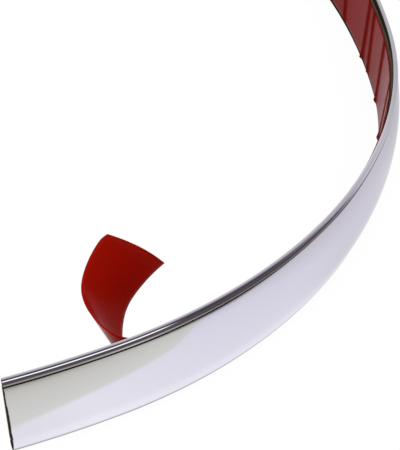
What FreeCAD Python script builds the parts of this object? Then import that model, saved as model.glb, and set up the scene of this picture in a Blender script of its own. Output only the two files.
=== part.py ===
# Chrome trim strip: one metre of flexible plastic moulding with a chrome film on its face,
# a foam adhesive tape along its back, and the tape's red release film.
# It stands on its long lower edge in one loose, open loop, as cut from a roll. The near end
# lies at the origin and the strip leaves it along +X, turning towards +Y; +Z is up.
# The chrome face looks outwards from the loop, and the tape and film look inwards.
# A section is drawn as (out, up): out is the distance in front of the face's edge line.
# The strip's path on the floor runs under the middle of its flat sole.
import FreeCAD, Part
import math
import os

Vector = FreeCAD.Vector
UP = Vector(0, 0, 1)

# Lie of the strip on the floor, in mm
LENGTH = 1000.0            # whole strip, along its sole
NEAR_STRETCH = 22.0        # first stretch from the near end
NEAR_RADIUS = 220.0
TIGHT_STRETCH = 130.0      # the tighter bend after it
TIGHT_RADIUS = 111.0
LOOSE_RADIUS = 215.0       # all the rest of the loop

# Moulding section
HEIGHT = 21.0              # lower edge to the top of the bead
FACE_CROWN = 1.8           # how far the face bulges between its two edges
BEAD_HEIGHT = 2.05         # half-round bead along the top, thicker than the wall below it
BEAD_PROUD = 0.49
BEAD_RADIUS = 1.05
BEAD_BACK = 0.9            # how far behind the edge line the bead's back lies
BEAD_BACK_DROP = 0.8       # and how far below its crest
GROOVE_WIDTH = 0.4         # sunk line between bead and face
GROOVE_DEPTH = 0.25
BACK_AT_TOP = 0.44         # back of the wall behind the edge line, just under the bead
BACK_AT_FOOT = 1.4         # the same at the lower lip
LIP_DEPTH = 2.0            # lower lip, curled back under the tape
LIP_HEIGHT = 2.0
LIP_ROUND = 0.7
LIP_CORNER = 0.6

# Foam tape and release film, stuck to the sloping back
TAPE_THICKNESS = 0.8
TAPE_ABOVE_LIP = 0.3       # bare back between the lower lip and the tape
TAPE_BELOW_BEAD = 0.85     # and between the tape and the bead
TAPE_WIDTH = HEIGHT - BEAD_HEIGHT - LIP_HEIGHT - TAPE_ABOVE_LIP - TAPE_BELOW_BEAD
FILM_THICKNESS = 0.15
FILM_PROUD = 0.4           # how far the film stands past the tape at each side
FILM_WIDTH = TAPE_WIDTH + 2 * FILM_PROUD

# Free end of the film, peeled off the tape and curled up behind the strip
PEELED_LENGTH = 28.6
FILM_TAB = 2.9             # the film is this much longer than the strip, to pull it by
# The free film bends without stretching, along straight lines that run across it. Both rows
# are at even steps from the peel line to the film's end: the bend's radius, and how far the
# line leans ahead for each millimetre across.
CURL_RADII = (2.7, 16.5, 12.8, 11.1, 13.2, 16.0)
CURL_LEANS = (0.0, 0.63, 0.5, 0.21, 0.4, -0.2)
CURL_STEPS = 34
# The film's end is cut by hand, not quite square and slightly bowed
CUT_SKEW = 0.6             # how much shorter its upper edge is
CUT_BOW = 0.75             # how far the cut bows out between its corners
CUT_SPARE = 0.6            # film lofted past its end, to be cut off
CUT_REACH = 0.2            # the cut runs past both corners by this share of its width
CUT_DEPTH = 6.0

PARTS_FOLDER = "parts"


def point(out, up):
    """A point of the section at the near end, where outwards is -Y."""
    sole_middle = (LIP_CORNER - LIP_DEPTH - LIP_ROUND) / 2
    return Vector(0, sole_middle - out, up)


def line(first, second):
    return Part.LineSegment(first, second).toShape()


def arc(first, middle, last):
    return Part.Arc(first, middle, last).toShape()


def back_slope():
    """Foot of the sloping back, unit vector up it, and the one that points away from it."""
    foot = point(-BACK_AT_FOOT, LIP_HEIGHT)
    rise = (point(-BACK_AT_TOP, HEIGHT - BEAD_HEIGHT) - foot).normalize()
    away = Vector(-1, 0, 0).cross(rise).normalize()
    return foot, rise, away


def moulding_section():
    """Crowned face, groove, half-round bead, sloping back and rounded lower lip."""
    face_foot = point(0, LIP_ROUND)
    face_head = point(0, HEIGHT - BEAD_HEIGHT - GROOVE_WIDTH)
    face_middle = point(FACE_CROWN, (LIP_ROUND + HEIGHT - BEAD_HEIGHT - GROOVE_WIDTH) / 2)
    groove_floor = point(-GROOVE_DEPTH, HEIGHT - BEAD_HEIGHT - GROOVE_WIDTH / 2)
    foot_reach = math.sqrt(BEAD_RADIUS**2 - (BEAD_HEIGHT - BEAD_RADIUS) ** 2)
    bead_foot = point(BEAD_PROUD - BEAD_RADIUS + foot_reach, HEIGHT - BEAD_HEIGHT)
    bead_front = point(BEAD_PROUD, HEIGHT - BEAD_RADIUS)
    bead_crest = point(BEAD_PROUD - BEAD_RADIUS, HEIGHT)
    bead_back = point(-BEAD_BACK, HEIGHT - BEAD_BACK_DROP)
    back_top = point(-BACK_AT_TOP, HEIGHT - BEAD_HEIGHT)
    back_foot = point(-BACK_AT_FOOT, LIP_HEIGHT)
    lip_shoulder = point(-LIP_DEPTH, LIP_HEIGHT - LIP_CORNER)
    lip_side = point(-LIP_DEPTH, LIP_CORNER)
    sole_back = point(LIP_CORNER - LIP_DEPTH, 0)
    sole_front = point(-LIP_ROUND, 0)
    bevel = 1 - math.sqrt(0.5)
    edges = [
        arc(face_foot, face_middle, face_head),
        arc(face_head, groove_floor, bead_foot),
        arc(bead_foot, bead_front, bead_crest),
        line(bead_crest, bead_back),
        line(bead_back, back_top),
        line(back_top, back_foot),
        line(back_foot, lip_shoulder),
        line(lip_shoulder, lip_side),
        arc(lip_side, point(LIP_CORNER * bevel - LIP_DEPTH, LIP_CORNER * bevel), sole_back),
        line(sole_back, sole_front),
        arc(sole_front, point(-LIP_ROUND * bevel, LIP_ROUND * bevel), face_foot),
    ]
    return Part.Face(Part.Wire(edges))


def layer_corners(low, high, inner, outer):
    """Corners of a flat layer on the back, from low to high up the slope."""
    foot, rise, away = back_slope()
    return [
        foot + rise * low + away * inner,
        foot + rise * high + away * inner,
        foot + rise * high + away * outer,
        foot + rise * low + away * outer,
    ]


def closed_wire(corners):
    return Part.Wire([line(a, b) for a, b in zip(corners, corners[1:] + corners[:1])])


def film_corners():
    low = TAPE_ABOVE_LIP - FILM_PROUD
    return layer_corners(low, low + FILM_WIDTH, TAPE_THICKNESS, TAPE_THICKNESS + FILM_THICKNESS)


def stretches():
    """The strip's arcs in order, as (length, radius)."""
    rest = LENGTH - NEAR_STRETCH - TIGHT_STRETCH
    return [(NEAR_STRETCH, NEAR_RADIUS), (TIGHT_STRETCH, TIGHT_RADIUS), (rest, LOOSE_RADIUS)]


def placement_at(distance):
    """Where the section stands after a distance along the strip."""
    place = Vector(0, 0, 0)
    heading = 0.0
    left = distance
    for length, radius in stretches():
        run = min(left, length)
        turn = run / radius
        centre = place + Vector(-math.sin(heading), math.cos(heading), 0) * radius
        heading += turn
        place = centre + Vector(math.sin(heading), -math.cos(heading), 0) * radius
        left -= run
    return FreeCAD.Placement(place, FreeCAD.Rotation(UP, math.degrees(heading)))


def along_strip(section, start=0.0):
    """Carry a section along the strip, from a distance to the far end."""
    pieces = []
    passed = 0.0
    for length, radius in stretches():
        first = max(start, passed)
        passed += length
        if first >= passed:
            continue
        placement = placement_at(first)
        face = section.copy()
        face.Placement = placement
        centre = placement.multVec(Vector(0, radius, 0))
        pieces.append(face.revolve(centre, UP, math.degrees((passed - first) / radius)))
    solid = pieces[0].fuse(pieces[1:]) if len(pieces) > 1 else pieces[0]
    return solid.removeSplitter().Solids[0]


def between(values, share):
    """The value at a share of the way along evenly spaced values."""
    place = share * (len(values) - 1)
    before = min(int(place), len(values) - 2)
    return values[before] + (place - before) * (values[before + 1] - values[before])


def at_length(edge, length):
    """Where a film edge, given as (distance, place) pairs, reaches a length."""
    for (before, start), (after, end) in zip(edge, edge[1:]):
        if before <= length <= after:
            return start + (end - start) * ((length - before) / (after - before))


def beyond_cut(lower, upper, normal):
    """A block on the far side of the film's cut end, which bows out between two corners."""
    edge = upper - lower
    ahead = edge.cross(normal).normalize()
    fall = ahead * (CUT_BOW * ((1 + 2 * CUT_REACH) ** 2 - 1))
    first = lower - edge * CUT_REACH - fall
    last = upper + edge * CUT_REACH - fall
    outline = [
        arc(first, (lower + upper) / 2 + ahead * CUT_BOW, last),
        line(last, last + ahead * CUT_DEPTH),
        line(last + ahead * CUT_DEPTH, first + ahead * CUT_DEPTH),
        line(first + ahead * CUT_DEPTH, first),
    ]
    face = Part.Face(Part.Wire(outline))
    face.translate(normal * -CUT_DEPTH)
    return face.extrude(normal * (2 * CUT_DEPTH))


def flap():
    """The peeled film, bent from the peel line on and lofted through its straight lines."""
    foot, rise, away = back_slope()
    above_foot = TAPE_ABOVE_LIP + TAPE_WIDTH / 2
    middle = foot + rise * above_foot + away * (TAPE_THICKNESS + FILM_THICKNESS / 2)
    ahead = Vector(-1, 0, 0)
    across = rise
    normal = away
    length = PEELED_LENGTH + FILM_TAB
    step = (length + abs(CURL_LEANS[-1]) * FILM_WIDTH / 2 + CUT_SPARE) / CURL_STEPS
    bends = [1 / radius for radius in CURL_RADII]
    wires, lower_edge, upper_edge = [], [], []
    for place in range(CURL_STEPS + 1):
        lean = between(CURL_LEANS, min(place * step / length, 1))
        half = (across + ahead * lean) * (FILM_WIDTH / 2)
        skin = normal * (FILM_THICKNESS / 2)
        corners = [middle - half - skin, middle + half - skin, middle + half + skin, middle - half + skin]
        wires.append(closed_wire(corners))
        lower_edge.append((place * step - lean * FILM_WIDTH / 2, middle - half))
        upper_edge.append((place * step + lean * FILM_WIDTH / 2, middle + half))
        share = min((place + 0.5) * step / length, 1)
        bend = between(bends, share)
        axis = ahead.cross(normal) * bend - ahead * (bend * between(CURL_LEANS, share))
        turn = FreeCAD.Rotation(axis, math.degrees(axis.Length * step))
        before = ahead
        ahead, across, normal = (turn.multVec(vector) for vector in (ahead, across, normal))
        middle = middle + (before + ahead) * (step / 2)
    upper_corner = at_length(upper_edge, length - CUT_SKEW)
    beyond = beyond_cut(at_length(lower_edge, length), upper_corner, normal)
    solid = Part.makeLoft(wires, True, True).cut(beyond)
    solid.Placement = placement_at(PEELED_LENGTH)
    return solid


def chrome_moulding():
    return along_strip(moulding_section())


def foam_tape():
    corners = layer_corners(TAPE_ABOVE_LIP, TAPE_ABOVE_LIP + TAPE_WIDTH, 0.0, TAPE_THICKNESS)
    return along_strip(Part.Face(closed_wire(corners)))


def release_film():
    stuck = along_strip(Part.Face(closed_wire(film_corners())), PEELED_LENGTH)
    return stuck.fuse(flap()).removeSplitter().Solids[0]


os.makedirs(PARTS_FOLDER, exist_ok=True)
for name, shape in (
    ("chrome_moulding", chrome_moulding()),
    ("foam_tape", foam_tape()),
    ("release_film", release_film()),
):
    shape.exportStep(os.path.join(PARTS_FOLDER, name + ".step"))
    box = shape.BoundBox
    print(name, "valid", shape.isValid(), "volume", round(shape.Volume, 1), "solids", len(shape.Solids))
    print("  box", [round(v, 2) for v in (box.XMin, box.YMin, box.ZMin, box.XMax, box.YMax, box.ZMax)])
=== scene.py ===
import math

import bmesh
import bpy
from mathutils import Matrix, Vector


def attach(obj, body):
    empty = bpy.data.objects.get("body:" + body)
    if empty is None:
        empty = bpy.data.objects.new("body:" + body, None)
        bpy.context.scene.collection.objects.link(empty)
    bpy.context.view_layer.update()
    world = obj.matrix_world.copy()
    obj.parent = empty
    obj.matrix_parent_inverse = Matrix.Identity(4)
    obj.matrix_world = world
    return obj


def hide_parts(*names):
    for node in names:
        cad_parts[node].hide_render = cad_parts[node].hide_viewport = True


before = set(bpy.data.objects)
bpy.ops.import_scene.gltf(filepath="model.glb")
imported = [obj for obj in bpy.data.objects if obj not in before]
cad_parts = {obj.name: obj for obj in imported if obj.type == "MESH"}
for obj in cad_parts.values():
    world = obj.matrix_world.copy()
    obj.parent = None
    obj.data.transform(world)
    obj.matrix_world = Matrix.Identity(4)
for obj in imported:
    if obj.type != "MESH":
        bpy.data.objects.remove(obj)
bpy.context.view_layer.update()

# The chrome moulding is one extruded plastic strip with a bright film drawn over its bead, its
# face and its sole. The backs of wall and lip keep the core's dark plastic, and so does the
# square cut end. It stands on its lip in one loose loop, turning left as it goes.
MM = 0.001
STRIP_LENGTH = 1000 * MM
STRETCHES = (
    ("Near", 22 * MM, 220 * MM),
    ("Tight", 130 * MM, 111 * MM),
    ("Loose", 848 * MM, 215 * MM),
)
RING_STEP = 2 * MM
HEIGHT = 21 * MM
FACE_CROWN = 1.8 * MM
BEAD_HEIGHT = 2.05 * MM
BEAD_CREST = -0.56 * MM
BEAD_FOOT = -0.24 * MM
BEAD_BACK = 0.9 * MM
BEAD_BACK_DROP = 0.8 * MM
# How the bead's surface turns on its way down from the crest: share of the way, tilt in degrees
BEAD_TURNS = ((0.0, 90), (0.40, 34), (0.60, 32), (0.68, -8), (1.0, -62))
# The groove's faces take the core's dark plastic, as painted shade in the groove
GROOVE_WIDTH = 0.4 * MM
GROOVE_DEPTH = 0.25 * MM
BACK_AT_TOP = 0.44 * MM
BACK_AT_FOOT = 1.4 * MM
LIP_DEPTH = 2 * MM
LIP_HEIGHT = 2 * MM
LIP_ROUND = 0.7 * MM
LIP_CORNER = 0.6 * MM
SOLE_MIDDLE = (LIP_DEPTH - LIP_CORNER + LIP_ROUND) / 2
# Steps along each part of the outline
FACE_STEPS, GROOVE_STEPS, BEAD_STEPS, TOP_STEPS = 40, 8, 30, 4
BACK_STEPS, LIP_STEPS, HEEL_STEPS, TOE_STEPS = 10, 2, 6, 8
# Edges that turn more than this stay sharp
SHARP_EDGE = math.radians(34)
# A face takes the core's dark plastic, uncovered on the backs and as painted shade in the groove, where
# more than this share of its corners is marked so
BARE_AND_SHADE_SHARE = 0.4
CHROME_COLOUR = (0.752, 0.734, 0.814)
# How bright the chrome is by height up the strip: painted shade along its lower edge, and a painted
# reflection that brightens the lower face just above it
FACE_PAINTED_TONES = ((0.0, 0.42), (0.9 * MM, 0.5), (1.5 * MM, 1.05), (3.5 * MM, 1.07), (6 * MM, 1.0))
# The lower half of the bead is painted darker by distance along the strip, as painted shade; it is the
# most darkened part
FOOT_PAINTED_SHADE = (
    (0.0, 0.42),
    (14 * MM, 0.45),
    (25 * MM, 0.7),
    (34 * MM, 0.4),
    (43 * MM, 0.22),
    (60 * MM, 0.18),
    (75 * MM, 0.29),
    (84 * MM, 0.15),
    (100 * MM, 0.17),
    (108 * MM, 0.4),
    (118 * MM, 0.85),
)
FOOT_REACH = 200 * MM
# The painted shade on the lower half of the bead fades in at the bead's foot and out at its nose, below
# the crest
FOOT_FADE = 0.2 * MM
NOSE_START, NOSE_FULL = 0.75 * MM, 1.05 * MM
# Further along, the painted shade also takes in the groove
GROOVE_TONE_DROP = 0.45 * MM
GROOVE_TONE_START, GROOVE_TONE_FULL = 60 * MM, 84 * MM
# Painted shade: past the bend the chrome is painted darker, and so is the lower half of the face from the
# bend on
PAINTED_SHADE_START, PAINTED_SHADE_FULL = 98 * MM, 130 * MM
PAINTED_SHADE_FADE, PAINTED_SHADE_END = 220 * MM, 320 * MM
LOWER_PAINTED_SHADE_START, LOWER_PAINTED_SHADE_FULL = 60 * MM, 86 * MM
LOWER_HALF_TOP, LOWER_HALF_FULL = 15 * MM, 3 * MM
PAINTED_SHADE_TONE = (0.73, 0.73, 0.71)
# The film is chipped along the cut end, but not over the bead
CHIP_SCALE = 420.0
CHIP_DEPTH = 0.5 * MM
CHIPS_START, CHIPS_END = 0.32 * MM, 0.48 * MM
BEAD_FILM_START, BEAD_FILM_FULL = 0.5 * MM, 0.2 * MM
HAZE_SCALE = 90.0
CLEAREST, HAZIEST = 0.03, 0.1
RIPPLE_SCALE = 35.0
RIPPLE_STRENGTH = 0.12
RIPPLE_DEPTH = 0.4 * MM
CORE_COLOUR = (0.034, 0.026, 0.016)
CORE_ROUGHNESS = 0.7
GRAIN_SCALE = 1800.0
GRAIN_STRENGTH = 0.4
GRAIN_DEPTH = 0.1 * MM


def arc(first, middle, last, count):
    """Points of the circle through three section points, from the first to before the last."""
    (ax, ay), (bx, by), (cx, cy) = first, middle, last
    twice = 2 * (ax * (by - cy) + bx * (cy - ay) + cx * (ay - by))
    a2, b2, c2 = ax * ax + ay * ay, bx * bx + by * by, cx * cx + cy * cy
    ox = (a2 * (by - cy) + b2 * (cy - ay) + c2 * (ay - by)) / twice
    oy = (a2 * (cx - bx) + b2 * (ax - cx) + c2 * (bx - ax)) / twice
    radius = math.hypot(ax - ox, ay - oy)
    start = math.atan2(ay - oy, ax - ox)
    through = (math.atan2(by - oy, bx - ox) - start) % math.tau
    turn = (math.atan2(cy - oy, cx - ox) - start) % math.tau
    if through > turn:
        turn -= math.tau
    angles = [start + turn * step / count for step in range(count)]
    return [(ox + radius * math.cos(a), oy + radius * math.sin(a)) for a in angles]


def straight(first, last, count):
    """Evenly spaced points from the first to before the last."""
    (ax, ay), (bx, by) = first, last
    return [(ax + (bx - ax) * step / count, ay + (by - ay) * step / count) for step in range(count)]


def bead_surface(count):
    """The bead's front from its foot up to its crest, as it turns by BEAD_TURNS."""
    out, up = 0.0, 0.0
    points = [(out, up)]
    for step in range(count):
        share = (step + 0.5) / count
        (a, tilt_a), (b, tilt_b) = [
            pair for pair in zip(BEAD_TURNS, BEAD_TURNS[1:]) if pair[0][0] <= share <= pair[1][0]
        ][0]
        tilt = math.radians(tilt_a + (tilt_b - tilt_a) * (share - a) / (b - a))
        out += math.sin(tilt)
        up -= math.cos(tilt)
        points.append((out, up))
    size = BEAD_HEIGHT / -up
    drift = BEAD_CREST + out * size - BEAD_FOOT
    path = [
        (BEAD_CREST + x * size - drift * step / count, HEIGHT + y * size)
        for step, (x, y) in enumerate(points)
    ]
    return path[:0:-1]


def moulding_section():
    """The closed outline as (out, up) points, and which of them take the core's dark plastic: the backs,
    and the groove as painted shade.
    """
    bead_foot = HEIGHT - BEAD_HEIGHT
    face_head = bead_foot - GROOVE_WIDTH
    bevel = 1 - math.sqrt(0.5)
    face = arc((0, LIP_ROUND), (FACE_CROWN, (LIP_ROUND + face_head) / 2), (0, face_head), FACE_STEPS)
    groove_floor = (-GROOVE_DEPTH, bead_foot - GROOVE_WIDTH / 2)
    groove = arc((0, face_head), groove_floor, (BEAD_FOOT, bead_foot), GROOVE_STEPS)
    bead = bead_surface(BEAD_STEPS)
    top = straight((BEAD_CREST, HEIGHT), (-BEAD_BACK, HEIGHT - BEAD_BACK_DROP), TOP_STEPS)
    back = straight((-BEAD_BACK, HEIGHT - BEAD_BACK_DROP), (-BACK_AT_TOP, bead_foot), TOP_STEPS)
    back += straight((-BACK_AT_TOP, bead_foot), (-BACK_AT_FOOT, LIP_HEIGHT), BACK_STEPS)
    back += straight((-BACK_AT_FOOT, LIP_HEIGHT), (-LIP_DEPTH, LIP_HEIGHT - LIP_CORNER), LIP_STEPS)
    back += straight((-LIP_DEPTH, LIP_HEIGHT - LIP_CORNER), (-LIP_DEPTH, LIP_CORNER), LIP_STEPS)
    heel = (LIP_CORNER * bevel - LIP_DEPTH, LIP_CORNER * bevel)
    back += arc((-LIP_DEPTH, LIP_CORNER), heel, (LIP_CORNER - LIP_DEPTH, 0), HEEL_STEPS)
    sole = straight((LIP_CORNER - LIP_DEPTH, 0), (-LIP_ROUND, 0), LIP_STEPS)
    toe = (-LIP_ROUND * bevel, LIP_ROUND * bevel)
    sole += arc((-LIP_ROUND, 0), toe, (0, LIP_ROUND), TOE_STEPS)
    points = face + groove + bead + top + back + sole
    before_back = len(points) - len(back) - len(sole)
    # The groove is marked with the backs, so its dark plastic is painted shade
    groove_painted_dark = range(len(face) + 1, len(face) + len(groove))
    behind = range(before_back - 1, before_back + len(back))
    return points, [place in groove_painted_dark or place in behind for place in range(len(points))]


def maths(tree, operation, *values):
    """A Math node; its values are sockets or plain numbers."""
    node = tree.nodes.new("ShaderNodeMath")
    node.operation = operation
    for socket, value in zip(node.inputs, values):
        if isinstance(value, bpy.types.NodeSocket):
            tree.links.new(value, socket)
        else:
            socket.default_value = value
    return node.outputs[0]


def join_up(tree, node, **sources):
    """Link or set a node's inputs by name, with underscores for spaces."""
    for name, value in sources.items():
        socket = node.inputs[name.replace("_", " ")]
        if isinstance(value, bpy.types.NodeSocket):
            tree.links.new(value, socket)
        else:
            socket.default_value = value
    return node


def spread(tree, value, start, end, low=0.0, high=1.0):
    """A value that goes evenly from low to high between a start and an end."""
    node = tree.nodes.new("ShaderNodeMapRange")
    join_up(tree, node, Value=value, From_Min=start, From_Max=end, To_Min=low, To_Max=high)
    return node.outputs[0]


def eased(tree, value, start, end):
    """The share of the way from a start to an end, slow at both."""
    node = tree.nodes.new("ShaderNodeMapRange")
    node.interpolation_type = "SMOOTHSTEP"
    return join_up(tree, node, Value=value, From_Min=start, From_Max=end).outputs[0]


def open_tree(name, inputs):
    """A node tree for a modifier, with named inputs given as (name, kind, value)."""
    tree = bpy.data.node_groups.new(name, "GeometryNodeTree")
    tree.interface.new_socket("Geometry", in_out="INPUT", socket_type="NodeSocketGeometry")
    for title, kind, value in inputs:
        socket = tree.interface.new_socket(title, in_out="INPUT", socket_type="NodeSocket" + kind)
        if value is not None:
            socket.default_value = value
    tree.interface.new_socket("Geometry", in_out="OUTPUT", socket_type="NodeSocketGeometry")
    return tree, tree.nodes.new("NodeGroupInput").outputs


def stored(tree, name):
    """What a mesh holds under a name, read in a modifier's tree."""
    node = tree.nodes.new("GeometryNodeInputNamedAttribute")
    return join_up(tree, node, Name=name).outputs[0]


def strip_tree():
    """Carries a section along the strip's path, from a start to an end distance."""
    sizes = [("Start", "Float", 0.0), ("End", "Float", STRIP_LENGTH), ("Ring step", "Float", RING_STEP)]
    for name, length, radius in STRETCHES:
        sizes += [(name + " length", "Float", length), (name + " radius", "Float", radius)]
    finishes = [("Finish", "Material", None), ("Bare finish", "Material", None)]
    tree, given = open_tree("carry along strip", sizes + finishes)
    run = maths(tree, "SUBTRACT", given["End"], given["Start"])
    rings = maths(tree, "CEIL", maths(tree, "DIVIDE", run, given["Ring step"]))
    line = tree.nodes.new("GeometryNodeMeshLine")
    tree.links.new(maths(tree, "ADD", rings, 1.0), line.inputs["Count"])
    place = tree.nodes.new("GeometryNodeInputIndex").outputs[0]
    passed = maths(tree, "MULTIPLY", maths(tree, "DIVIDE", place, rings), run)
    distance = maths(tree, "ADD", passed, given["Start"])
    x, y, heading, before = 0.0, 0.0, 0.0, 0.0
    for name, _, _ in STRETCHES:
        length, radius = given[name + " length"], given[name + " radius"]
        left = maths(tree, "MAXIMUM", maths(tree, "SUBTRACT", distance, before), 0.0)
        turn = maths(tree, "DIVIDE", maths(tree, "MINIMUM", left, length), radius)
        ahead = maths(tree, "MULTIPLY", radius, maths(tree, "SINE", turn))
        inner = maths(tree, "MULTIPLY", radius, maths(tree, "COSINE", turn))
        aside = maths(tree, "SUBTRACT", radius, inner)
        cosine, sine = maths(tree, "COSINE", heading), maths(tree, "SINE", heading)
        x = maths(tree, "ADD", x, maths(tree, "MULTIPLY", ahead, cosine))
        x = maths(tree, "SUBTRACT", x, maths(tree, "MULTIPLY", aside, sine))
        y = maths(tree, "ADD", y, maths(tree, "MULTIPLY", ahead, sine))
        y = maths(tree, "ADD", y, maths(tree, "MULTIPLY", aside, cosine))
        heading = maths(tree, "ADD", heading, turn)
        before = maths(tree, "ADD", before, length)
    spot = join_up(tree, tree.nodes.new("ShaderNodeCombineXYZ"), X=x, Y=y)
    laid = tree.nodes.new("GeometryNodeSetPosition")
    join_up(tree, laid, Geometry=line.outputs[0], Position=spot.outputs[0])
    marked = tree.nodes.new("GeometryNodeStoreNamedAttribute")
    join_up(tree, marked, Geometry=laid.outputs[0], Name="along", Value=distance)
    path = join_up(tree, tree.nodes.new("GeometryNodeMeshToCurve"), Mesh=marked.outputs[0])
    upright = tree.nodes.new("GeometryNodeSetCurveNormal")
    upright.mode = "Z_UP"
    join_up(tree, upright, Curve=path.outputs[0])
    section = join_up(tree, tree.nodes.new("GeometryNodeMeshToCurve"), Mesh=given["Geometry"])
    swept = tree.nodes.new("GeometryNodeCurveToMesh")
    join_up(tree, swept, Curve=upright.outputs[0], Profile_Curve=section.outputs[0], Fill_Caps=True)
    bend = tree.nodes.new("GeometryNodeInputMeshEdgeAngle").outputs["Unsigned Angle"]
    sharp = maths(tree, "GREATER_THAN", bend, SHARP_EDGE)
    smooth = tree.nodes.new("GeometryNodeSetShadeSmooth")
    smooth.domain = "EDGE"
    join_up(tree, smooth, Geometry=swept.outputs[0], Selection=sharp, Shade_Smooth=False)
    real = join_up(tree, tree.nodes.new("GeometryNodeRealizeInstances"), Geometry=smooth.outputs[0])
    dressed = tree.nodes.new("GeometryNodeSetMaterial")
    join_up(tree, dressed, Geometry=real.outputs[0], Material=given["Finish"])
    # Only the two cut ends have faces with more than four corners
    corners = tree.nodes.new("GeometryNodeInputMeshFaceNeighbors").outputs["Vertex Count"]
    cut_end = maths(tree, "GREATER_THAN", corners, 4.5)
    # Marked faces take the core's dark plastic: uncovered on the backs, painted shade in the groove
    marked_bare_and_shade = maths(tree, "GREATER_THAN", stored(tree, "bare_and_shade"), BARE_AND_SHADE_SHARE)
    undressed = maths(tree, "MAXIMUM", marked_bare_and_shade, cut_end)
    bared = tree.nodes.new("GeometryNodeSetMaterial")
    join_up(tree, bared, Geometry=dressed.outputs[0], Selection=undressed, Material=given["Bare finish"])
    join_up(tree, tree.nodes.new("NodeGroupOutput"), Geometry=bared.outputs[0])
    return tree


def set_modifier_inputs(modifier, **values):
    """Set a tree's named inputs by their sockets' identifiers, with underscores for spaces."""
    for item in modifier.node_group.interface.items_tree:
        key = item.name.replace(" ", "_")
        if item.in_out == "INPUT" and key in values:
            modifier[item.identifier] = values[key]


def settle(piece):
    """Turn a piece with modifiers into a plain mesh."""
    depsgraph = bpy.context.evaluated_depsgraph_get()
    mesh = bpy.data.meshes.new_from_object(piece.evaluated_get(depsgraph), depsgraph=depsgraph)
    piece.modifiers.clear()
    piece.data = mesh
    mesh.name = piece.name
    return piece


def carried_along_strip(name, points, bare_and_shade, closed, **values):
    """A piece with one section all along the strip, as a plain mesh. The sweep turns up into -Y."""
    count = len(points)
    edges = [(place, (place + 1) % count) for place in range(count if closed else count - 1)]
    mesh = bpy.data.meshes.new(name)
    mesh.from_pydata([(out + SOLE_MIDDLE, -up, 0) for out, up in points], edges, [])
    across = mesh.attributes.new("across", "FLOAT", "POINT")
    across.data.foreach_set("value", [up for _, up in points])
    marks = mesh.attributes.new("bare_and_shade", "FLOAT", "POINT")
    marks.data.foreach_set("value", [float(mark) for mark in bare_and_shade])
    piece = bpy.data.objects.new(name, mesh)
    bpy.context.scene.collection.objects.link(piece)
    modifier = piece.modifiers.new("along strip", "NODES")
    modifier.node_group = STRIP_TREE
    set_modifier_inputs(modifier, **values)
    return settle(piece)


def new_finish(name):
    """A new material, its tree, its shader and the object's coordinates."""
    material = bpy.data.materials.new(name)
    material.use_nodes = True
    tree = material.node_tree
    place = tree.nodes.new("ShaderNodeTexCoord").outputs["Object"]
    return material, tree, tree.nodes["Principled BSDF"], place


def attribute(tree, name):
    """What a mesh holds under a name, read in a material."""
    node = tree.nodes.new("ShaderNodeAttribute")
    node.attribute_name = name
    return node.outputs["Fac"]


def noise(tree, place, scale, detail):
    """A cloudy pattern from 0 to 1."""
    node = tree.nodes.new("ShaderNodeTexNoise")
    return join_up(tree, node, Vector=place, Scale=scale, Detail=detail).outputs[0]


def bumped(tree, shader, height, strength, depth):
    """Raise and sink the surface's shading by a pattern."""
    bump = tree.nodes.new("ShaderNodeBump")
    join_up(tree, bump, Height=height, Strength=strength, Distance=depth)
    tree.links.new(bump.outputs[0], shader.inputs["Normal"])


def mixed(tree, share, first, second, blend="MIX"):
    """Two colours mixed by a share; each is a socket or three numbers."""
    node = tree.nodes.new("ShaderNodeMix")
    node.data_type = "RGBA"
    node.blend_type = blend
    tree.links.new(share, node.inputs["Factor"])
    for socket, source in ((node.inputs[6], first), (node.inputs[7], second)):
        if isinstance(source, bpy.types.NodeSocket):
            tree.links.new(source, socket)
        else:
            socket.default_value = (*source, 1)
    return node.outputs[2]


def ramped(tree, share, stops):
    """A colour that changes with a share, by stops given as (share, colour)."""
    ramp = tree.nodes.new("ShaderNodeValToRGB")
    tree.links.new(share, ramp.inputs[0])
    for place, _ in stops[2:]:
        ramp.color_ramp.elements.new(place)
    for element, (place, colour) in zip(ramp.color_ramp.elements, stops):
        element.position = place
        element.color = (*colour, 1)
    return ramp.outputs[0]


def painted_chrome(tree, value, reach, tones):
    """The chrome's colour with painted light and shade over a distance, by (distance, tone)."""
    stops = [(distance / reach, [part * tone for part in CHROME_COLOUR]) for distance, tone in tones]
    return ramped(tree, spread(tree, value, 0.0, reach), stops)


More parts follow.
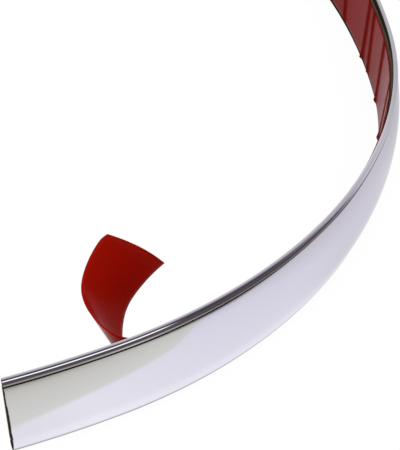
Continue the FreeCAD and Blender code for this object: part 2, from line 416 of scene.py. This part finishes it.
def chrome_finish():
    """Bright metallised film: nearly a mirror, with a faint ripple from the extruder, and painted shade
    and reflection in its colour.
    """
    material, tree, shader, place = new_finish("chrome film")
    up = attribute(tree, "across")
    along = attribute(tree, "along")
    bead_foot = HEIGHT - BEAD_HEIGHT

    # Painted shade past the bend, and on the lower face from the bend on
    lower_half = eased(tree, up, LOWER_HALF_TOP, LOWER_HALF_FULL)
    lower_painted_shade = maths(tree, "MULTIPLY", lower_half, eased(tree, along, LOWER_PAINTED_SHADE_START, LOWER_PAINTED_SHADE_FULL))
    painted_shade = maths(tree, "MAXIMUM", lower_painted_shade, eased(tree, along, PAINTED_SHADE_START, PAINTED_SHADE_FULL))
    painted_shade = maths(tree, "MULTIPLY", painted_shade, eased(tree, along, PAINTED_SHADE_END, PAINTED_SHADE_FADE))
    face = mixed(tree, painted_shade, painted_chrome(tree, up, HEIGHT, FACE_PAINTED_TONES), PAINTED_SHADE_TONE, "MULTIPLY")

    # Painted shade on the lower half of the bead, and further along in the groove
    foot = painted_chrome(tree, along, FOOT_REACH, FOOT_PAINTED_SHADE)
    over_groove = eased(tree, along, GROOVE_TONE_START, GROOVE_TONE_FULL)
    raised = maths(tree, "MULTIPLY_ADD", over_groove, GROOVE_TONE_DROP, up)
    over_foot = eased(tree, raised, bead_foot - FOOT_FADE, bead_foot)
    under_nose = eased(tree, up, HEIGHT - NOSE_START, HEIGHT - NOSE_FULL)
    colour = mixed(tree, maths(tree, "MULTIPLY", over_foot, under_nose), face, foot)

    chipped = maths(tree, "MULTIPLY_ADD", noise(tree, place, CHIP_SCALE, 2.0), CHIP_DEPTH, along)
    past_chips = eased(tree, chipped, CHIPS_START, CHIPS_END)
    on_bead = eased(tree, up, bead_foot - BEAD_FILM_START, bead_foot - BEAD_FILM_FULL)
    covered = maths(tree, "MAXIMUM", past_chips, on_bead)
    tree.links.new(mixed(tree, covered, CORE_COLOUR, colour), shader.inputs["Base Color"])
    tree.links.new(covered, shader.inputs["Metallic"])
    shader.inputs["Specular IOR Level"].default_value = 0.0

    haze = spread(tree, noise(tree, place, HAZE_SCALE, 3.0), 0.0, 1.0, CLEAREST, HAZIEST)
    tree.links.new(haze, shader.inputs["Roughness"])
    bumped(tree, shader, noise(tree, place, RIPPLE_SCALE, 1.0), RIPPLE_STRENGTH, RIPPLE_DEPTH)
    return material


def core_finish():
    """Dark flexible plastic of the core, matt where the knife cut it; in the groove it is painted shade.
    """
    material, tree, shader, place = new_finish("plastic core and groove shade")
    colour = (*CORE_COLOUR, 1)
    join_up(tree, shader, Base_Color=colour, Roughness=CORE_ROUGHNESS, Specular_IOR_Level=0.0)
    bumped(tree, shader, noise(tree, place, GRAIN_SCALE, 4.0), GRAIN_STRENGTH, GRAIN_DEPTH)
    return material


STRIP_TREE = strip_tree()
chrome = chrome_finish()
core = core_finish()
outline, bare_and_shade_points = moulding_section()
moulding = carried_along_strip("moulding", outline, bare_and_shade_points, True, Finish=chrome, Bare_finish=core)
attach(moulding, "root")
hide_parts("chrome_moulding")

# The foam tape is a double-sided acrylic foam strip, dark olive grey, pressed onto the sloping
# back of the moulding between the bead and the lower lip. Its cut edges are slightly rounded.
TAPE_WIDTH = 15.8 * MM
TAPE_THICKNESS = 0.8 * MM
TAPE_ABOVE_LIP = 0.3 * MM
TAPE_CORNER = 0.12 * MM
TAPE_FLAT_STEPS, TAPE_SIDE_STEPS = 8, 2
FOAM_COLOUR = (0.175, 0.118, 0.072)
FOAM_LIGHT = (0.27, 0.19, 0.125)
FOAM_ROUGHNESS = 0.8
MOTTLE_SCALE = 260.0
CELL_SCALE = 4500.0
CELL_STRENGTH = 0.6
CELL_DEPTH = 0.08 * MM

back_slope = Vector((BACK_AT_FOOT - BACK_AT_TOP, HEIGHT - BEAD_HEIGHT - LIP_HEIGHT)).normalized()
back_away = Vector((-back_slope.y, back_slope.x))


def on_back(up_slope, away):
    """Section point at a distance up the back's slope and away from it."""
    return tuple(Vector((-BACK_AT_FOOT, LIP_HEIGHT)) + back_slope * up_slope + back_away * away)


def foam_finish():
    """Closed-cell foam: matt, with a fine cell texture and faint mottling."""
    material, tree, shader, place = new_finish("acrylic foam")
    join_up(tree, shader, Roughness=FOAM_ROUGHNESS)
    mottle = noise(tree, place, MOTTLE_SCALE, 3.0)
    tree.links.new(mixed(tree, mottle, FOAM_COLOUR, FOAM_LIGHT), shader.inputs["Base Color"])
    cells = tree.nodes.new("ShaderNodeTexVoronoi")
    join_up(tree, cells, Vector=place, Scale=CELL_SCALE)
    bumped(tree, shader, cells.outputs["Distance"], CELL_STRENGTH, CELL_DEPTH)
    return material


def tape_section():
    """The tape's outline, with a small bevel along both cut edges."""
    low, high = TAPE_ABOVE_LIP, TAPE_ABOVE_LIP + TAPE_WIDTH
    side = TAPE_THICKNESS - TAPE_CORNER
    corners = (
        (low, 0, TAPE_FLAT_STEPS),
        (high, 0, TAPE_SIDE_STEPS),
        (high, side, 1),
        (high - TAPE_CORNER, TAPE_THICKNESS, TAPE_FLAT_STEPS),
        (low + TAPE_CORNER, TAPE_THICKNESS, 1),
        (low, side, TAPE_SIDE_STEPS),
    )
    points = []
    for (up, away, steps), (next_up, next_away, _) in zip(corners, corners[1:] + corners[:1]):
        points += straight(on_back(up, away), on_back(next_up, next_away), steps)
    return points[::-1]


foam = foam_finish()
tape_outline = tape_section()
covered_points = [False] * len(tape_outline)
tape = carried_along_strip("tape", tape_outline, covered_points, True, Finish=foam, Bare_finish=foam)
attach(tape, "root")
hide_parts("foam_tape")

# The release film is thin red polyester, one long piece. It lies on the tape and has buckled
# into sharp little creases there, because it is on the inside of the bend. At the near end it
# is peeled off and curls up behind the strip; it bends there, but doesn't stretch.
FILM_WIDTH = 16.6 * MM
FILM_THICKNESS = 0.15 * MM
PEELED_LENGTH = 28.6 * MM
FILM_TAB = 2.9 * MM
CURL_RADII = (2.7 * MM, 16.5 * MM, 12.8 * MM, 11.1 * MM, 13.2 * MM, 16 * MM)
CURL_LEANS = (0, 0.63, 0.5, 0.21, 0.4, -0.2)
CUT_SKEW = 0.6 * MM
CUT_BOW = 0.75 * MM
CURL_SPARE = 0.6 * MM
FILM_RING_STEP = 0.8 * MM
FILM_COLUMNS = 20
CURL_ROWS = 64
WELD_GAP = 0.02 * MM
FILM_RED = (0.4, 0.0075, 0.002)
# Painted light: the thin edges are a brighter red for the light that comes through them
FILM_EDGE_PAINTED_GLOW = (0.46, 0.011, 0.003)
FILM_RIM = 2.2 * MM
# The stuck film is darker red than the free film: partly the dark tape under it, partly painted shade
# where it faces back into the loop
STUCK_SHADED_RED = (0.24, 0.007, 0.005)
STUCK_FADE = 1 * MM
FILM_GLOSS = 0.02
FILM_ROUGHNESS = 0.2
CLOUD_SCALE = 140.0
WAVE_SCALE = 240.0
WAVE_STRENGTH = 0.2
WAVE_DEPTH = 0.2 * MM
# Creases run across the stuck film, one in each spacing, and fade in with the bend
CREASE_START, CREASE_FULL = 44 * MM, 61.6 * MM
CREASE_SPACING = 12.6 * MM
CREASE_WIDTH = 0.95 * MM
CREASE_HEIGHT = 0.34 * MM
CREASE_LEAN = 0.2
CREASE_SEED = 7
# Each crease draws its place in its spacing, its lean and its height between these shares
PLACE_SHARES = (0.05, 0.95)
LEAN_SHARES = (-0.6, 1.0)
HEIGHT_SHARES = (0.45, 1.0)
# It is highest at its toe on the film's lower edge, and dies out below the upper edge at first
TOE_LENGTH = 2.6 * MM
TOE_LIFT = 2.4
UPPER_START, UPPER_FULL = 105 * MM, 135 * MM
UPPER_LOW, UPPER_HIGH = -0.6, 0.4
# Its folded skin is painted darker, as painted shade, and is matt, over a stripe a little wider than the
# crease
CREASE_SHADE_RED = (0.15, 0.004, 0.002)
CREASE_ROUGHNESS = 0.85
STRIPE_FALL = 0.4


def film_finish():
    """Glossy red film, with painted light at its thin edges where a little light comes through, and
    painted shade on its stuck length and in its creases.
    """
    material, tree, shader, place = new_finish("red film")
    join_up(tree, shader, Specular_IOR_Level=FILM_GLOSS)
    half = FILM_WIDTH / 2
    from_middle = maths(tree, "ABSOLUTE", maths(tree, "SUBTRACT", attribute(tree, "across"), half))
    # Painted light along the film's edges, in clouds
    rim = eased(tree, from_middle, half - FILM_RIM, half)
    share = maths(tree, "MULTIPLY", rim, noise(tree, place, CLOUD_SCALE, 2.0))
    colour = mixed(tree, share, FILM_RED, FILM_EDGE_PAINTED_GLOW)
    # The stuck length is painted darker, partly as painted shade
    stuck = spread(tree, attribute(tree, "along"), PEELED_LENGTH - STUCK_FADE, PEELED_LENGTH)
    colour = mixed(tree, stuck, colour, STUCK_SHADED_RED)
    creased = attribute(tree, "creased")
    # Painted shade on the crease stripes
    tree.links.new(mixed(tree, creased, colour, CREASE_SHADE_RED), shader.inputs["Base Color"])
    roughness = spread(tree, creased, 0.0, 1.0, FILM_ROUGHNESS, CREASE_ROUGHNESS)
    tree.links.new(roughness, shader.inputs["Roughness"])
    bumped(tree, shader, noise(tree, place, WAVE_SCALE, 2.0), WAVE_STRENGTH, WAVE_DEPTH)
    return material


def crease_tree():
    """Lifts the stuck film off its tape in narrow creases across it, one in each spacing."""
    sizes = [
        ("Start", "Float", CREASE_START),
        ("Full", "Float", CREASE_FULL),
        ("Spacing", "Float", CREASE_SPACING),
        ("Width", "Float", CREASE_WIDTH),
        ("Height", "Float", CREASE_HEIGHT),
        ("Lean", "Float", CREASE_LEAN),
        ("Toe length", "Float", TOE_LENGTH),
        ("Seed", "Int", CREASE_SEED),
        ("Finish", "Material", None),
    ]
    tree, given = open_tree("crease film", sizes)
    along = stored(tree, "along")
    across = stored(tree, "across")
    cell = maths(tree, "FLOOR", maths(tree, "DIVIDE", along, given["Spacing"]))

    def drawn(cell_number, offset, low, high):
        """A random number for a crease, the same wherever it is asked for."""
        node = tree.nodes.new("FunctionNodeRandomValue")
        node.data_type = "FLOAT"
        low_socket, high_socket = [socket for socket in node.inputs if socket.enabled][:2]
        low_socket.default_value = low
        high_socket.default_value = high
        join_up(tree, node, ID=cell_number, Seed=maths(tree, "ADD", given["Seed"], float(offset)))
        return [socket for socket in node.outputs if socket.enabled][0]

    lift, stripe = 0.0, 0.0
    for neighbour in (-1.0, 0.0, 1.0):
        number = maths(tree, "ADD", cell, neighbour)
        spot = maths(tree, "ADD", number, drawn(number, 0, *PLACE_SHARES))
        leaning = maths(tree, "MULTIPLY", drawn(number, 1, *LEAN_SHARES), given["Lean"])
        spot = maths(tree, "MULTIPLY", spot, given["Spacing"])
        spot = maths(tree, "ADD", spot, maths(tree, "MULTIPLY", leaning, across))
        apart = maths(tree, "DIVIDE", maths(tree, "SUBTRACT", along, spot), given["Width"])
        squared = maths(tree, "MULTIPLY", apart, apart)
        fall = maths(tree, "EXPONENT", maths(tree, "MULTIPLY", squared, -1.0))
        # The wider stripe carries the creases' painted shade and matt skin
        stripe_fall = maths(tree, "EXPONENT", maths(tree, "MULTIPLY", squared, -STRIPE_FALL))
        stripe = maths(tree, "MAXIMUM", stripe, stripe_fall)
        height = maths(tree, "MULTIPLY", drawn(number, 2, *HEIGHT_SHARES), given["Height"])
        lift = maths(tree, "MAXIMUM", lift, maths(tree, "MULTIPLY", fall, height))
    begun = eased(tree, along, given["Start"], given["Full"])
    at_upper_edge = spread(tree, along, UPPER_START, UPPER_FULL, UPPER_LOW, UPPER_HIGH)
    taper = spread(tree, across, 0.0, FILM_WIDTH, 1.0, at_upper_edge)
    toe = spread(tree, across, 0.0, given["Toe length"], TOE_LIFT, 1.0)
    taper = maths(tree, "MULTIPLY", maths(tree, "MAXIMUM", taper, 0.0), toe)
    lift = maths(tree, "MULTIPLY", maths(tree, "MULTIPLY", lift, begun), taper)
    stripe = maths(tree, "MULTIPLY", stripe, begun)
    marked = tree.nodes.new("GeometryNodeStoreNamedAttribute")
    join_up(tree, marked, Geometry=given["Geometry"], Name="creased", Value=stripe)
    away = tree.nodes.new("ShaderNodeVectorMath")
    away.operation = "SCALE"
    tree.links.new(tree.nodes.new("GeometryNodeInputNormal").outputs[0], away.inputs[0])
    tree.links.new(lift, away.inputs["Scale"])
    lifted = tree.nodes.new("GeometryNodeSetPosition")
    join_up(tree, lifted, Geometry=marked.outputs[0], Offset=away.outputs[0])
    real = join_up(tree, tree.nodes.new("GeometryNodeRealizeInstances"), Geometry=lifted.outputs[0])
    dressed = tree.nodes.new("GeometryNodeSetMaterial")
    join_up(tree, dressed, Geometry=real.outputs[0], Material=given["Finish"])
    join_up(tree, tree.nodes.new("NodeGroupOutput"), Geometry=dressed.outputs[0])
    return tree


def between(values, share):
    """The value at a share of the way along evenly spaced values."""
    place = share * (len(values) - 1)
    before = min(int(place), len(values) - 2)
    return values[before] + (place - before) * (values[before + 1] - values[before])


def spot_on_strip(distance):
    """The path's point and heading after a distance along the strip."""
    place, heading, left = Vector((0, 0, 0)), 0.0, distance
    for _, length, radius in STRETCHES:
        run = min(left, length)
        turn = run / radius
        ahead = Vector((math.cos(heading), math.sin(heading), 0))
        inward = Vector((-ahead.y, ahead.x, 0))
        place += ahead * radius * math.sin(turn) + inward * radius * (1 - math.cos(turn))
        heading += turn
        left -= run
    return place, heading


def curl_rules():
    """The straight lines that the peeled film bends along, as (distance, lean, middle, way along it)."""
    place, heading = spot_on_strip(PEELED_LENGTH)
    out = Vector((math.sin(heading), -math.cos(heading), 0))
    up = Vector((0, 0, 1))
    middle_out, middle_up = on_back(TAPE_ABOVE_LIP + TAPE_WIDTH / 2, TAPE_THICKNESS + FILM_THICKNESS / 2)
    middle = place + out * (middle_out + SOLE_MIDDLE) + up * middle_up
    across = out * back_slope.x + up * back_slope.y
    normal = out * back_away.x + up * back_away.y
    ahead = Vector((-math.cos(heading), -math.sin(heading), 0))
    bends = [1 / radius for radius in CURL_RADII]
    length = PEELED_LENGTH + FILM_TAB
    step = (length + abs(CURL_LEANS[-1]) * FILM_WIDTH / 2 + CURL_SPARE) / CURL_ROWS
    rules = []
    for row in range(CURL_ROWS + 1):
        lean = between(CURL_LEANS, min(row * step / length, 1))
        rules.append((row * step, lean, middle, across + ahead * lean))
        share = min((row + 0.5) * step / length, 1)
        bend = between(bends, share)
        axis = ahead.cross(normal) * bend - ahead * (bend * between(CURL_LEANS, share))
        turn = Matrix.Rotation(axis.length * step, 3, axis)
        before = ahead
        ahead, across, normal = turn @ ahead, turn @ across, turn @ normal
        middle = middle + (before + ahead) * (step / 2)
    return rules


def curled(rules, flat, off):
    """Where a point of the flat film lies in the curl, by its distances ahead and off the middle."""
    for (start, lean_a, middle_a, rule_a), (end, lean_b, middle_b, rule_b) in zip(rules, rules[1:]):
        near, far = start + lean_a * off, end + lean_b * off
        if near <= flat <= far:
            return (middle_a + rule_a * off).lerp(middle_b + rule_b * off, (flat - near) / (far - near))


def turn_inwards(sheet):
    """Make the sheet's faces look towards the inside of the loop."""
    bmesh.ops.recalc_face_normals(sheet, faces=sheet.faces)
    stuck_face = max(sheet.faces, key=lambda face: face.calc_center_median().x)
    loop_middle = Vector((sum(v.co.x for v in sheet.verts), sum(v.co.y for v in sheet.verts), 0))
    loop_middle /= len(sheet.verts)
    if stuck_face.normal.dot(loop_middle - stuck_face.calc_center_median()) < 0:
        bmesh.ops.reverse_faces(sheet, faces=sheet.faces)


def film_sheet(finish):
    """The whole film as one sheet: the stuck length, welded to the curl at the peel line."""
    low = TAPE_ABOVE_LIP - (FILM_WIDTH - TAPE_WIDTH) / 2
    middle = TAPE_THICKNESS + FILM_THICKNESS / 2
    line = straight(on_back(low, middle), on_back(low + FILM_WIDTH, middle), FILM_COLUMNS)
    line.append(on_back(low + FILM_WIDTH, middle))
    stuck = carried_along_strip(
        "film",
        line,
        [False] * len(line),
        False,
        Start=PEELED_LENGTH,
        Ring_step=FILM_RING_STEP,
        Finish=finish,
        Bare_finish=finish,
    )
    sheet = bmesh.new()
    sheet.from_mesh(stuck.data)
    along = sheet.verts.layers.float["along"]
    across = sheet.verts.layers.float["across"]
    for vert in sheet.verts:
        vert[across] = (vert[across] - LIP_HEIGHT) / back_slope.y - low
    rules = curl_rules()
    rows = []
    for row in range(CURL_ROWS + 1):
        rows.append([])
        for column in range(FILM_COLUMNS + 1):
            share = column / FILM_COLUMNS
            length = PEELED_LENGTH + FILM_TAB - CUT_SKEW * share + CUT_BOW * (1 - (2 * share - 1) ** 2)
            flat = length * row / CURL_ROWS
            vert = sheet.verts.new(curled(rules, flat, FILM_WIDTH * (share - 0.5)))
            vert[along] = PEELED_LENGTH - flat
            vert[across] = FILM_WIDTH * share
            rows[-1].append(vert)
    for near, far in zip(rows, rows[1:]):
        for a, b, c, d in zip(near, near[1:], far[1:], far):
            sheet.faces.new((a, b, c, d))
    bmesh.ops.remove_doubles(sheet, verts=sheet.verts, dist=WELD_GAP)
    turn_inwards(sheet)
    for face in sheet.faces:
        face.smooth = True
    sheet.to_mesh(stuck.data)
    sheet.free()
    return stuck


red = film_finish()
film = film_sheet(red)
creases = film.modifiers.new("creases", "NODES")
creases.node_group = crease_tree()
set_modifier_inputs(creases, Finish=red)
skin = film.modifiers.new("thickness", "SOLIDIFY")
skin.thickness = FILM_THICKNESS
skin.offset = 0
skin.use_even_offset = True
settle(film)
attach(film, "root")
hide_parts("release_film")

# A plain white floor under the strip. The camera sees it white, with the strip's faint shadow.
# The chrome mirrors it as a lit table: bright paper by the strip, a greyer table top in front
# of the paper, dark ground past the paper's right-hand end, and a dim room further off.
FLOOR_HALF = 3.0
FLOOR_DROP = 0.02 * MM
FLOOR_WHITE = (0.9, 0.9, 0.9, 1)
FLOOR_GLOW = 1.045
FLOOR_SHARE = 0.9
SETTING_TURN = math.radians(20.67)
# Places on the floor are to the right of the near end and ahead of it, as the camera looks.
# The paper's front edge comes nearer past a turn
PAPER_EDGE = -9 * MM
PAPER_EDGE_FADE = 2 * MM
PAPER_TURN = 60 * MM
PAPER_SLANT = 0.45
# It darkens over this distance to the right, and more slowly ahead
PAPER_REACH = 160 * MM
PAPER_AHEAD_SHARE = 0.6
PAPER_TONES = (
    (0.0, (0.91, 0.91, 0.92)),
    (0.125, (0.97, 0.97, 0.98)),
    (0.25, (0.92, 0.92, 0.94)),
    (0.375, (0.885, 0.88, 0.92)),
    (0.5, (0.85, 0.845, 0.89)),
    (0.65, (0.82, 0.81, 0.86)),
    (0.8, (0.745, 0.735, 0.77)),
    (1.0, (0.68, 0.67, 0.7)),
)
TABLE_REACH = 200 * MM
TABLE_TONES = (
    (0.04, (0.81, 0.825, 0.74)),
    (0.09, (0.765, 0.78, 0.7)),
    (0.2, (0.725, 0.735, 0.64)),
    (0.45, (0.66, 0.665, 0.58)),
    (0.66, (0.59, 0.59, 0.5)),
    (0.78, (0.5, 0.5, 0.41)),
    (1.0, (0.34, 0.33, 0.28)),
)
DARK_START, DARK_FULL = 143 * MM, 153 * MM
DARK_END, DARK_FADE = 95 * MM, 65 * MM
DARK_TONE = (0.115, 0.085, 0.082)
# Further off it is dark in front of the strip and light behind it
FAR_MIDDLE = 50 * MM
FAR_START, FAR_FULL = 150 * MM, 300 * MM
FAR_TURN_START, FAR_TURN_END = math.radians(-10), math.radians(30)
FAR_FRONT = (0.09, 0.085, 0.1)
FAR_BACK = (0.56, 0.56, 0.58)


def floor_finish():
    """Matt white to light and camera, and the lit table to what mirrors it."""
    material, tree, shader, place = new_finish("white floor")
    tree.nodes.remove(shader)
    matt = join_up(tree, tree.nodes.new("ShaderNodeBsdfDiffuse"), Color=FLOOR_WHITE)
    glow = join_up(tree, tree.nodes.new("ShaderNodeEmission"), Strength=FLOOR_GLOW)
    turned = tree.nodes.new("ShaderNodeMapping")
    join_up(tree, turned, Vector=place, Rotation=(0, 0, SETTING_TURN))
    spot = join_up(tree, tree.nodes.new("ShaderNodeSeparateXYZ"), Vector=turned.outputs[0])
    right, ahead = spot.outputs[0], spot.outputs[1]

    further = maths(tree, "MULTIPLY", maths(tree, "MAXIMUM", ahead, 0.0), PAPER_AHEAD_SHARE)
    over_paper = spread(tree, maths(tree, "ADD", right, further), 0.0, PAPER_REACH)
    paper = ramped(tree, over_paper, PAPER_TONES)
    over_table = spread(tree, maths(tree, "MULTIPLY", ahead, -1.0), 0.0, TABLE_REACH)
    table = ramped(tree, over_table, TABLE_TONES)
    past_turn = maths(tree, "MAXIMUM", maths(tree, "SUBTRACT", right, PAPER_TURN), 0.0)
    edge = maths(tree, "ADD", ahead, maths(tree, "MULTIPLY", past_turn, PAPER_SLANT))
    on_paper = eased(tree, edge, PAPER_EDGE - PAPER_EDGE_FADE, PAPER_EDGE + PAPER_EDGE_FADE)
    near = mixed(tree, on_paper, table, paper)

    off_middle = maths(tree, "SUBTRACT", right, FAR_MIDDLE)
    squares = [maths(tree, "MULTIPLY", side, side) for side in (off_middle, ahead)]
    reach = maths(tree, "SQRT", maths(tree, "ADD", *squares))
    turn = maths(tree, "ARCTAN2", ahead, off_middle)
    far = mixed(tree, eased(tree, turn, FAR_TURN_START, FAR_TURN_END), FAR_FRONT, FAR_BACK)
    mirrored = mixed(tree, eased(tree, reach, FAR_START, FAR_FULL), near, far)
    off_paper = eased(tree, right, DARK_START, DARK_FULL)
    off_paper = maths(tree, "MULTIPLY", off_paper, eased(tree, ahead, DARK_END, DARK_FADE))
    mirrored = mixed(tree, off_paper, mirrored, DARK_TONE)

    rays = tree.nodes.new("ShaderNodeLightPath")
    by_chrome = rays.outputs["Is Glossy Ray"]
    tree.links.new(mixed(tree, by_chrome, (1, 1, 1), mirrored), glow.inputs["Color"])
    seen = maths(tree, "MAXIMUM", rays.outputs["Is Camera Ray"], rays.outputs["Is Transmission Ray"])
    share = maths(tree, "MAXIMUM", maths(tree, "MULTIPLY", seen, FLOOR_SHARE), by_chrome)
    mix = tree.nodes.new("ShaderNodeMixShader")
    tree.links.new(share, mix.inputs[0])
    tree.links.new(matt.outputs[0], mix.inputs[1])
    tree.links.new(glow.outputs[0], mix.inputs[2])
    tree.links.new(mix.outputs[0], tree.nodes["Material Output"].inputs["Surface"])
    return material


floor_mesh = bpy.data.meshes.new("floor")
corners = [(x * FLOOR_HALF, y * FLOOR_HALF, -FLOOR_DROP) for x, y in ((-1, -1), (1, -1), (1, 1), (-1, 1))]
floor_mesh.from_pydata(corners, [], [(0, 1, 2, 3)])
floor_mesh.materials.append(floor_finish())
floor = bpy.data.objects.new("floor", floor_mesh)
bpy.context.scene.collection.objects.link(floor)

# The studio around it is even and white. What the bright bead mirrors of it is a dim room
# behind the camera, with one large soft lamp above it to the left, and lighter walls behind.
SKY_STRENGTH = 0.9
ROOM_AZIMUTH = math.radians(30)
ROOM_ELEVATION = math.radians(12)
# The room's tones, from its dim middle behind the camera to the walls opposite
ROOM_TONES = (
    (0.0, (0.075, 0.065, 0.08)),
    (0.17, (0.08, 0.07, 0.085)),
    (0.21, (0.16, 0.15, 0.17)),
    (0.265, (0.27, 0.26, 0.28)),
    (0.3, (0.5, 0.49, 0.51)),
    (0.41, (0.57, 0.56, 0.58)),
    (0.6, (0.75, 0.74, 0.76)),
    (0.8, (0.8, 0.79, 0.81)),
)
LAMP_LOW, LAMP_HIGH = math.radians(12), math.radians(33)
LAMP_LEFT, LAMP_RIGHT = -1.0, math.radians(50)
LAMP_RIM, LAMP_LEFT_RIM, LAMP_RIGHT_RIM = 0.04, 0.2, 0.1
LAMP_WHITE = (1.5, 1.5, 1.45)


def studio_world():
    """White to the camera, even light on the object, and the dim room to what mirrors it."""
    world = bpy.data.worlds.new("studio")
    bpy.context.scene.world = world
    world.use_nodes = True
    tree = world.node_tree
    sky = join_up(tree, tree.nodes["Background"], Color=(1, 1, 1, 1), Strength=SKY_STRENGTH)
    direction = tree.nodes.new("ShaderNodeTexCoord").outputs["Generated"]
    turned = tree.nodes.new("ShaderNodeMapping")
    turned.vector_type = "VECTOR"
    join_up(tree, turned, Vector=direction, Rotation=(0, 0, SETTING_TURN))
    parts = join_up(tree, tree.nodes.new("ShaderNodeSeparateXYZ"), Vector=turned.outputs[0])
    azimuth = maths(tree, "ARCTAN2", parts.outputs[0], maths(tree, "MULTIPLY", parts.outputs[1], -1.0))
    elevation = maths(tree, "ARCSINE", parts.outputs[2])

    flat = math.cos(ROOM_ELEVATION)
    room = tree.nodes.new("ShaderNodeVectorMath")
    room.operation = "DOT_PRODUCT"
    tree.links.new(turned.outputs[0], room.inputs[0])
    room.inputs[1].default_value = (
        math.sin(ROOM_AZIMUTH) * flat,
        -math.cos(ROOM_AZIMUTH) * flat,
        math.sin(ROOM_ELEVATION),
    )
    walls = ramped(tree, spread(tree, room.outputs["Value"], 1.0, -1.0), ROOM_TONES)

    above_low = eased(tree, elevation, LAMP_LOW - LAMP_RIM, LAMP_LOW + LAMP_RIM)
    below_high = eased(tree, elevation, LAMP_HIGH + LAMP_RIM, LAMP_HIGH - LAMP_RIM)
    lamp = maths(tree, "MULTIPLY", above_low, below_high)
    lamp = maths(tree, "MULTIPLY", lamp, eased(tree, azimuth, LAMP_RIGHT + LAMP_RIGHT_RIM, LAMP_RIGHT))
    lamp = maths(tree, "MULTIPLY", lamp, eased(tree, azimuth, LAMP_LEFT - LAMP_LEFT_RIM, LAMP_LEFT))
    mirrored = tree.nodes.new("ShaderNodeBackground")
    tree.links.new(mixed(tree, lamp, walls, LAMP_WHITE), mirrored.inputs["Color"])

    white = join_up(tree, tree.nodes.new("ShaderNodeBackground"), Color=(1, 1, 1, 1), Strength=1.0)
    rays = tree.nodes.new("ShaderNodeLightPath")
    for_metal = tree.nodes.new("ShaderNodeMixShader")
    tree.links.new(rays.outputs["Is Glossy Ray"], for_metal.inputs[0])
    tree.links.new(sky.outputs[0], for_metal.inputs[1])
    tree.links.new(mirrored.outputs[0], for_metal.inputs[2])
    for_camera = tree.nodes.new("ShaderNodeMixShader")
    clear = maths(tree, "MAXIMUM", rays.outputs["Is Camera Ray"], rays.outputs["Is Transmission Ray"])
    tree.links.new(clear, for_camera.inputs[0])
    tree.links.new(for_metal.outputs[0], for_camera.inputs[1])
    tree.links.new(white.outputs[0], for_camera.inputs[2])
    tree.links.new(for_camera.outputs[0], tree.nodes["World Output"].inputs["Surface"])


studio_world()

# The camera stands in front of the near end, a little to the left, and looks down on it.
# The lens and the pitch come from the photograph's perspective of the strip's three long edges.
CAMERA_PLACE = (-0.01519, -0.14078, 0.18255)
CAMERA_PITCH = math.radians(42.3)
CAMERA_ROLL = math.radians(0.43)
CAMERA_LENS = 94.22
CAMERA_SENSOR = 36
CAMERA_NEAREST = 10 * MM
camera_data = bpy.data.cameras.new("camera")
camera_data.lens = CAMERA_LENS
camera_data.sensor_width = CAMERA_SENSOR
camera_data.clip_start = CAMERA_NEAREST
camera = bpy.data.objects.new("camera", camera_data)
camera.location = CAMERA_PLACE
facing = Matrix.Rotation(-SETTING_TURN, 3, "Z") @ Matrix.Rotation(math.pi / 2 - CAMERA_PITCH, 3, "X")
camera.rotation_euler = (facing @ Matrix.Rotation(CAMERA_ROLL, 3, "Z")).to_euler()
bpy.context.scene.collection.objects.link(camera)
bpy.context.scene.camera = camera
bpy.context.scene.view_settings.view_transform = "Standard"
